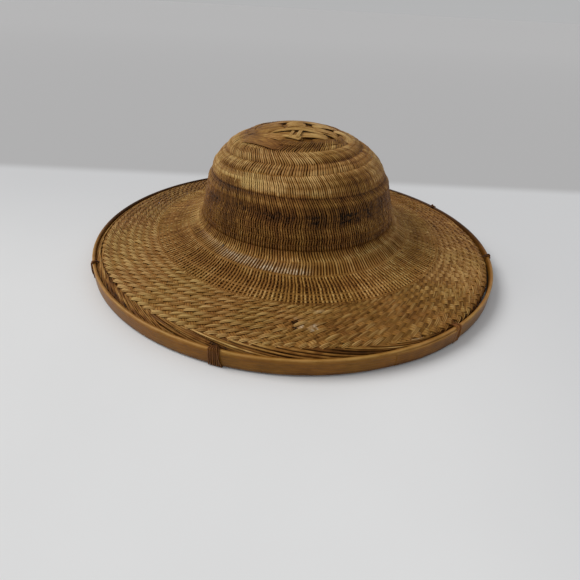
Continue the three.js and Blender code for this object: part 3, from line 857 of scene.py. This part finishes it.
# %% Bend the hoop
HOOP_RADIUS, HOOP_THICKNESS, HOOP_TOP, HOOP_BOTTOM = 200.0, 3.0, 15.2, 1.0
HOOP_PROFILE = np.array([
    (-1, 0), (-0.97, 0.6), (-0.86, 0.93), (-0.5, 1.0), (0, 1.0), (0.5, 1.0), (0.86, 0.93), (0.97, 0.6),
    (1, 0), (0.95, -0.8), (0.8, -1), (-0.8, -1), (-0.95, -0.8)])
HOOP_COLOURS = [(0.0, (34, 18, 5)), (0.3, (84, 50, 14)), (0.6, (140, 94, 34)), (1.0, (206, 164, 98))]
# The top edge is partly rubbed and partly a painted highlight; behind the hat, edge and hoop are
# painted darker as shade.
HOOP_TONE, EDGE_RUB_AND_HIGHLIGHT, BACK_EDGE_SHADE, FOOT_DARKER, BACK_PAINTED_SHADE = 0.52, 0.34, 0.22, 0.16, 0.14


def upright_strip(degrees, outer, top, bottom, thickness, closed=False):
    """A strip on edge round the hoop's middle, its outer face at the outer radius."""
    angle = np.radians(degrees)
    out = np.stack([np.cos(angle), np.sin(angle), np.zeros_like(angle)], -1)
    path = out * np.broadcast_to(outer - thickness / 2, angle.shape)[:, None]
    path[:, 2] = (top + bottom) / 2
    return carry(path[None], out[None], (top - bottom) / 2, thickness / 2, HOOP_PROFILE, closed)


def hoop_tone(turn):
    """A tone for each step and corner: light along the top outer edge, partly rubbed and partly a
    painted highlight, and darker at the bottom. Behind the hat the top edge is painted darker
    instead, and the hoop as a whole too, as shade."""
    across, high = HOOP_PROFILE.T
    edge = EDGE_RUB_AND_HIGHLIGHT * bell((across + 1) / 0.16) * (0.5 + 0.5 * high)
    back_edge_shade = BACK_EDGE_SHADE * bell((across + 1) / 0.3)
    foot = FOOT_DARKER * bell((across - 1) / 0.3)
    behind = np.clip(np.sin(np.radians(turn)) * 2.5 + 0.6, 0, 1)[:, None]
    return (HOOP_TONE + edge * (1 - behind) - back_edge_shade * behind - foot - BACK_PAINTED_SHADE * behind)[None]


hoop_bamboo = split_bamboo("hoop_bamboo", HOOP_COLOURS, streak=0.18, mottle=0.14, gloss=0.42, seam=0.04,
                           shine=0.2)
turn = np.arange(0, 360, 1.0)
ring = upright_strip(turn, HOOP_RADIUS, HOOP_TOP, HOOP_BOTTOM, HOOP_THICKNESS, closed=True)
add_piece("hoop_ring", ring, hoop_bamboo, hoop_tone(turn), closed=True,
          stands_for=("hoop",), splints=6)

# %% The lapped end
LAP_FROM, LAP_TO, LAP_THINS = -67.0, -49.2, 7.0  # degrees of both ends and of the thin part
LAP_TOP, LAP_BOTTOM = HOOP_TOP - 1.6, HOOP_BOTTOM + 0.4
LAP_OUT, LAP_IN = 0.9, 0.6  # mm that it stands out from the hoop's face, and lies in it
turn = np.linspace(LAP_FROM, LAP_TO, 40)
rise = LAP_OUT * np.clip((turn - LAP_FROM) / LAP_THINS, 0.05, 1)
lap = upright_strip(turn, HOOP_RADIUS + rise, LAP_TOP, LAP_BOTTOM, rise + LAP_IN)
add_piece("hoop_lap", lap, hoop_bamboo, hoop_tone(turn) - 0.04, splints=6)

# %% [markdown]
# ## The lashings
# Seven lashings of dark cane hold the hoop. Each is one strand that goes several times over the
# rim, down through the weave and under the hoop, and its last turn crosses the others on top.

# %% Wind the lashings
LASHING_ROWS = (  # angle in degrees, turns, distance between turns, slant along the rim
    (-154.75, 4, 1.45, 2.6), (-104.75, 6, 1.6, 0.6), (-48.75, 4, 1.6, 1.2), (-8, 3, 1.6, 1.6),
    (30.25, 4, 1.6, 1.6), (75, 4, 1.6, 1.4), (118, 4, 1.6, 1.6))
LOOP_CORNERS = np.array([  # radius and height of the strand's middle
    (200.55, 0.42), (200.6, 15.3), (199.3, 16.1), (196.6, 15.6), (193.6, 14.2), (193.2, 11.0),
    (196.0, 0.42)])
LOOP_MIDDLE = np.array([197.5, 8.5])
TURN_STEPS = 44
MOVES_FROM, MOVES_OVER = 0.42, 0.5  # shares of a turn: where it moves on, and for how long
CANE_STRAY, CANE_HALF, CANE_THICK = 0.16, 0.36, 0.42  # mm, share of the distance, half thickness
GATHERED, COMES_BACK, ON_TOP = 0.72, 0.45, 0.75  # at the hole, on the last turn, mm over all
CANE_PROFILE = np.array([(-1, 0), (-0.6, 0.8), (0.6, 0.8), (1, 0), (0.6, -0.8), (-0.6, -0.8)])
CANE_COLOURS = [(0.0, (32, 15, 6)), (0.35, (96, 56, 22)), (0.7, (146, 96, 46)), (1.0, (190, 142, 84))]
cane = split_bamboo("dark_cane", CANE_COLOURS, streak=0.24, mottle=0.15, gloss=0.45, seam=0.2,
                    shine=0.2)


def rounded_loop(corners, count):
    """A loop of even points through the corners, each averaged with the points beside it."""
    closed = np.vstack([corners, corners[:1]])
    run = np.concatenate([[0], np.cumsum(np.linalg.norm(np.diff(closed, axis=0), axis=1))])
    even = np.linspace(0, run[-1], count, endpoint=False)
    loop = np.stack([np.interp(even, run, closed[:, k]) for k in (0, 1)], 1)
    return (np.roll(loop, -1, 0) + loop + np.roll(loop, 1, 0)) / 3


def lashing(name, degrees, turns, pitch, slant, node_name):
    """One strand: at each step the loop's point, moved along the rim by the turns made so far. They
    lie side by side on the hoop's face and draw together at the hole inside it. The slant leans
    them, and the last one comes back over the others."""
    loop = rounded_loop(LOOP_CORNERS, TURN_STEPS)
    step = np.arange(turns * TURN_STEPS + TURN_STEPS // 2 + 1)
    radius, height = loop[step % TURN_STEPS].T
    share = step / TURN_STEPS
    eased = np.floor(share) + np.clip((share % 1 - MOVES_FROM) / MOVES_OVER, 0, 1)
    back = np.clip(share - turns, 0, 1) * 2
    uneven = np.interp(share, np.arange(turns + 2), rng.normal(0, CANE_STRAY, turns + 2))
    along = (eased - turns / 2 - back * turns * COMES_BACK) * pitch + uneven
    # from 0 on the hoop's face and below it to 1 at the hole inside it
    inner = np.clip((199.5 - radius) / 5, 0, 1) * np.clip((height - 4) / 6, 0, 1)
    along = along * (1 - GATHERED * inner) + slant * (0.5 - inner) * np.clip((height - 8) / 8, 0, 1)
    out, side = level_ways(math.radians(degrees))
    up = np.array([0, 0, 1.0])
    away = unit((radius - LOOP_MIDDLE[0])[:, None] * out + (height - LOOP_MIDDLE[1])[:, None] * up)
    path = radius[:, None] * out + along[:, None] * side + height[:, None] * up
    path = path + away * (ON_TOP * np.clip(back * 6, 0, 1))[:, None] * (height > 5)[:, None]
    normal = unit(np.cross(side, np.gradient(path, axis=0)))
    normal = normal * np.sign((normal * away).sum(-1, keepdims=True))
    strip = carry(path[None], normal[None], pitch * CANE_HALF, CANE_THICK, CANE_PROFILE)
    # darker towards the hole inside the hoop, as painted shade
    tone = 0.5 + 0.05 * rng.normal() + 0.7 * uneven[None] - 0.3 * inner[None]
    add_piece(name, strip, cane, tone, stands_for=(node_name,), splints=2)


for number, (degrees, turns, pitch, slant) in enumerate(LASHING_ROWS, 1):
    lashing(f"cane_lashing_{number}", degrees, turns, pitch, slant, f"lashing_{number}")

# %% [markdown]
# ## The plait on top
# Wide strips cross at the top of the crown. Each is a ribbon over the dome with fine splits along
# it. Below them lies a layer in three directions, painted darker as shade, which shows in the gaps.

# %% The strips of the plait
PLAIT_ROWS = np.array([  # x, y of both ends, both widths, bow, lift at start, middle, end, tone
    (-37, -22, -33, 28, 15, 14, 0, -1.4, -0.9, -1.4, -0.14),
    (-25, -32, -22, 38, 9, 9, 0, -1.4, -0.9, -1.4, -0.1),
    (-4.5, -42, -4.5, 43, 15, 15, 0, -1.4, -0.9, -1.4, -0.12),
    (17.5, -39, 17.5, 40, 11, 11, 0, -1.4, -0.9, -1.4, -0.14),
    (37, -26, 36, 26, 12, 12, 0, -1.4, -0.9, -1.4, -0.1),
    (-22, 38, 24, 37, 12, 12, 3, -1.3, -0.4, -1.3, 0.02),
    (-37, 23, 38, 22, 14, 14, 2, -1.3, -0.2, -1.3, -0.04),
    (-42, 9, 42, 7, 14, 14, 1, -1.3, -0.1, -1.3, 0.02),
    (-47, -16, -17, -4, 13, 11, 0, -0.9, 0.3, -0.2, -0.06),
    (-43, -24, -14, -14, 8, 7, 0, -0.7, 0.5, 0.1, -0.02),
    (-13, -8, 5, -6, 13, 12, 0, -0.2, 0.4, -0.3, 0.04),
    (-16, -15.5, 26, -15, 8, 8, 0, -0.4, 0.3, -0.4, 0.0),
    (11, -5, 30, 4, 8, 8, 0, -0.5, 0.3, -0.5, 0.14),
    (10, -12, 34, -14, 8, 9, 0, -0.4, 0.5, -0.5, 0.02),
    (24, -16, 42, -27, 7, 7, 0, -0.4, 0.2, -0.8, 0.04),
    (31, -3, 47, -21, 12, 11, 4, -0.4, 0.8, -0.2, 0.32),
    (-26, -29, 3, -28, 9, 9, 0, -0.6, 0.2, -0.3, -0.04),
    (-1, -29, 25, -27, 10, 9, 0, -0.3, 0.5, -0.3, 0.06),
    (-30, -38, 2, -42, 9, 9, -1, -0.6, 0.0, -0.6, -0.06),
    (10, -38, 36, -26, 7, 8, -1, -0.6, 0.0, -0.7, -0.1),
    (-42, -22, -13, -37, 10, 9, 0, -0.4, 0.6, 0.0, 0.0),
    (-52, -17, -16, -48, 12, 11, -2, -0.2, 0.7, -0.2, 0.08),
    (-17, -32, 1, -36, 3, 9, 0, 0.3, 0.8, 0.5, 0.16),
    (-29, -23, 21, -20.5, 4.5, 5, 1.5, -0.1, 1.3, -0.1, 0.1),
    (-6, -23, -9.5, -35, 2.8, 2.4, 0, 1.0, 1.1, 0.6, 0.16),
    (0.9, -20.5, -2.8, -36, 3.2, 3.0, 0, 1.0, 1.5, 0.9, 0.2)])
UNDER_TURNS, UNDER_OFFSETS, UNDER_REACH = (0, 60, 120), np.arange(-38, 39, 12.5), 47.0
UNDER_WIDTH, UNDER_LIFT, UNDER_APART, UNDER_SHADE_TONE = 13.5, -1.9, 0.25, -0.16
TOP_MIDDLE = DRIFT_ROWS[0, 1:]
RIBBON_STEPS, CRESTS, RIBBON_THICK = 26, 8, 0.3  # crests across it, and mm of half thickness
TIP_DARKER, TIP_SHARE = 0.2, 0.06  # shade at the ends, and share of the length it takes


def under_rows():
    """Rows for the layer below, painted dark as shade: in each direction, chords of the disc at each
    offset.
    """
    rows = []
    for depth, turn in enumerate(np.radians(UNDER_TURNS)):
        along, aside = (way[:2] for way in level_ways(turn))
        lift = UNDER_LIFT - UNDER_APART * depth
        for offset in UNDER_OFFSETS:
            half = math.sqrt(UNDER_REACH**2 - offset**2)
            rows.append((*(aside * offset - along * half), *(aside * offset + along * half),
                         UNDER_WIDTH, UNDER_WIDTH, 0, lift, lift, lift, UNDER_SHADE_TONE))
    return np.array(rows)


def ribbons(name, rows, stands_for=()):
    """Ribbons over the dome. Seen from above the path is the line between the ends plus bow *
    sin(pi * share) to the left, and the lift goes through its three values as a parabola does."""
    share = np.linspace(0, 1, RIBBON_STEPS)
    x0, y0, x1, y1, width0, width1, bow, lift0, lift1, lift2, lighter = rows.T[:, :, None]
    length = np.hypot(x1 - x0, y1 - y0)
    bend = bow * np.sin(math.pi * share)
    x = x0 + (x1 - x0) * share - (y1 - y0) / length * bend - TOP_MIDDLE[0]
    y = y0 + (y1 - y0) * share + (x1 - x0) / length * bend - TOP_MIDDLE[1]
    arc, angle = np.interp(np.hypot(x, y), outline[:, 0], outline_arc), np.arctan2(y, x)
    lift = (lift0 * (1 - share) * (1 - 2 * share) + 4 * lift1 * share * (1 - share)
            + lift2 * share * (2 * share - 1))
    point, normal = on_surface(arc, angle, lift)
    from_end = np.minimum(share, 1 - share)
    width = (width0 + (width1 - width0) * share) * np.minimum(1, 0.55 + 6 * from_end)
    tops = np.linspace(-0.97, 0.97, 2 * CRESTS + 1)
    crest = [(across, 0.75 + 0.25 * (-1) ** k) for k, across in enumerate(tops)]
    profile = np.array(crest + [(1, 0), (0, -0.8), (-1, 0)])
    tone = shade_of(arc, angle)[0] + lighter - TIP_DARKER * bell(from_end / TIP_SHARE)
    strips = carry(point, normal, width / 2, RIBBON_THICK, profile)
    add_piece(name, strips, plait_bamboo, tone, stands_for=stands_for, splints=9)


plait_bamboo = split_bamboo("plait_bamboo", streak=0.5, mottle=0.24, seam=0.16, grain=0.9, shine=0.14)
ribbons("plait_ribbons", PLAIT_ROWS, stands_for=("crown_plait",))
ribbons("plait_under_ribbons", under_rows())

# %% [markdown]
# ## Floor and light
# The hat stands on a pale surface with a grey one behind it, in soft daylight from the left. The
# grey is mixed so that it meets the sky's colour at the horizon.

# %% Lay the floor
# The third colour is a painted shadow to the right of the hat.
FLOOR_PALE, FLOOR_MARK, FLOOR_SHADOW = (237, 238, 239), (225, 226, 227), (219, 220, 222)
FLOOR_FAR, FLOOR_BEHIND, FLOOR_HORIZON = (216, 217, 219), (189, 189, 190), (195, 195, 196)
SHADOW_STEP, FAR_STEP, LINE_STEP, HORIZON_STEP = (0.05, 0.3), (-0.15, 0.2), (0.198, 0.236), (0.3, 4.0)
LINE_LEAN, FLOOR_HALF = -0.029, 60000.0  # how the line leans to the right, and half the floor in mm


def floor_material():
    """Pale up to a line behind the hat and grey past it, with faint broad mottling, and a painted
    shadow that makes the pale a little darker to the right of the hat. The line leans a little, and
    each colour comes in over a smooth step between two places in metres."""
    material, tree, shader = new_material("floor")
    add, times, _ = sums(tree)
    place = add_node(tree, "ShaderNodeTexCoord").outputs["Object"]
    part_x, part_y, _ = three_parts(tree, place)
    line = add(part_y, times(part_x, LINE_LEAN))
    mottling = times(noise(tree, place, 9.0, 4.0), 0.5)
    pale = mix_colour(tree, mottling, srgb(*FLOOR_PALE), srgb(*FLOOR_MARK))
    pale = mix_colour(tree, step_between(tree, part_x, *SHADOW_STEP), pale, srgb(*FLOOR_SHADOW))
    pale = mix_colour(tree, step_between(tree, line, *FAR_STEP), pale, srgb(*FLOOR_FAR))
    horizon = step_between(tree, line, *HORIZON_STEP)
    grey = mix_colour(tree, horizon, srgb(*FLOOR_BEHIND), srgb(*FLOOR_HORIZON))
    colour = mix_colour(tree, step_between(tree, line, *LINE_STEP), pale, grey)
    tree.links.new(colour, shader.inputs["Base Color"])
    shader.inputs["Roughness"].default_value = 0.8
    shader.inputs["Specular IOR Level"].default_value = 0.1
    return material


floor_mesh = bpy.data.meshes.new("floor")
corners = FLOOR_HALF * MM * np.array([(-1, -1, 0), (1, -1, 0), (1, 1, 0), (-1, 1, 0)])
floor_mesh.from_pydata(corners.tolist(), [], [(0, 1, 2, 3)])
floor_mesh.materials.append(floor_material())
add_object("floor", floor_mesh)

# %% Light the scene
SUN_FROM, SUN_STRENGTH, SUN_SPREAD = (-0.9, 0.1, 0.9), 1.75, math.radians(35)
SKY_COLOUR, SKY_STRENGTH = (0.985, 0.992, 1.0, 1.0), 0.46

sun_data = bpy.data.lights.new("sun", "SUN")
sun_data.energy, sun_data.angle = SUN_STRENGTH, SUN_SPREAD
sun_data.color = (1.0, 0.98, 0.955)
sun = add_object("sun", sun_data)
sun.rotation_euler = Vector(SUN_FROM).to_track_quat("Z", "Y").to_euler()

world = bpy.data.worlds.new("sky")
world.use_nodes = True
background = world.node_tree.nodes["Background"].inputs
background["Color"].default_value, background["Strength"].default_value = SKY_COLOUR, SKY_STRENGTH
bpy.context.scene.world = world
bpy.context.scene.view_settings.view_transform = "Standard"
